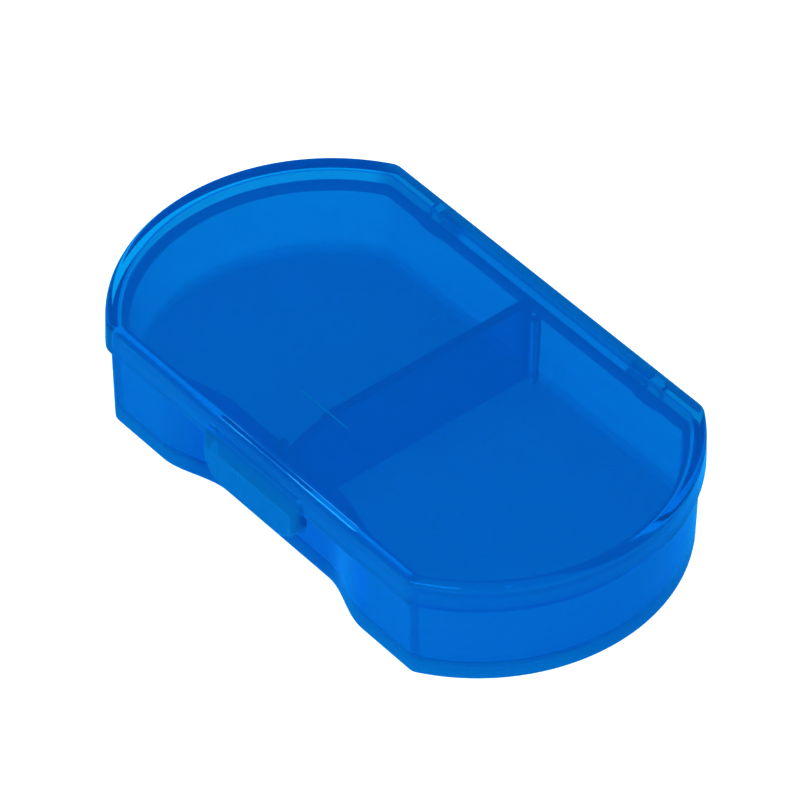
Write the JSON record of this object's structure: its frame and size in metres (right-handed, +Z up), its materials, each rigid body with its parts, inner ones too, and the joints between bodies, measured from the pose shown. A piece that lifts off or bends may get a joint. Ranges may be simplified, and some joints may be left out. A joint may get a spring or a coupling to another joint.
{
  "type": "pocket pill case",
  "caption": "Flat pocket pill case with rounded ends: a divided tray under a hinged snap lid with a thumb tongue over a finger recess.",
  "frame": {"origin": "middle of the case on the surface that it stands on", "axes": "+X along the length, +Y towards the hinge, -Y towards the thumb tongue, +Z up out of the lid"},
  "size_m": [0.0666, 0.0394, 0.0134],
  "materials": {
    "tray_plastic": "gloss, translucent blue",
    "divider_plastic": "gloss, translucent blue",
    "lid_plastic": "gloss, translucent blue"
  },
  "bodies": {
    "tray": {"base_tray": "tray_plastic", "divider": "divider_plastic"},
    "lid": {"lid": "lid_plastic"}
  },
  "joints": [
    {"name": "lid_hinge", "type": "hinge", "parent": "tray", "child": "lid", "pos_m": [0, 0.0185, 0.0102], "axis": [-1, 0, 0], "range_deg": [0, 160]}
  ]
}
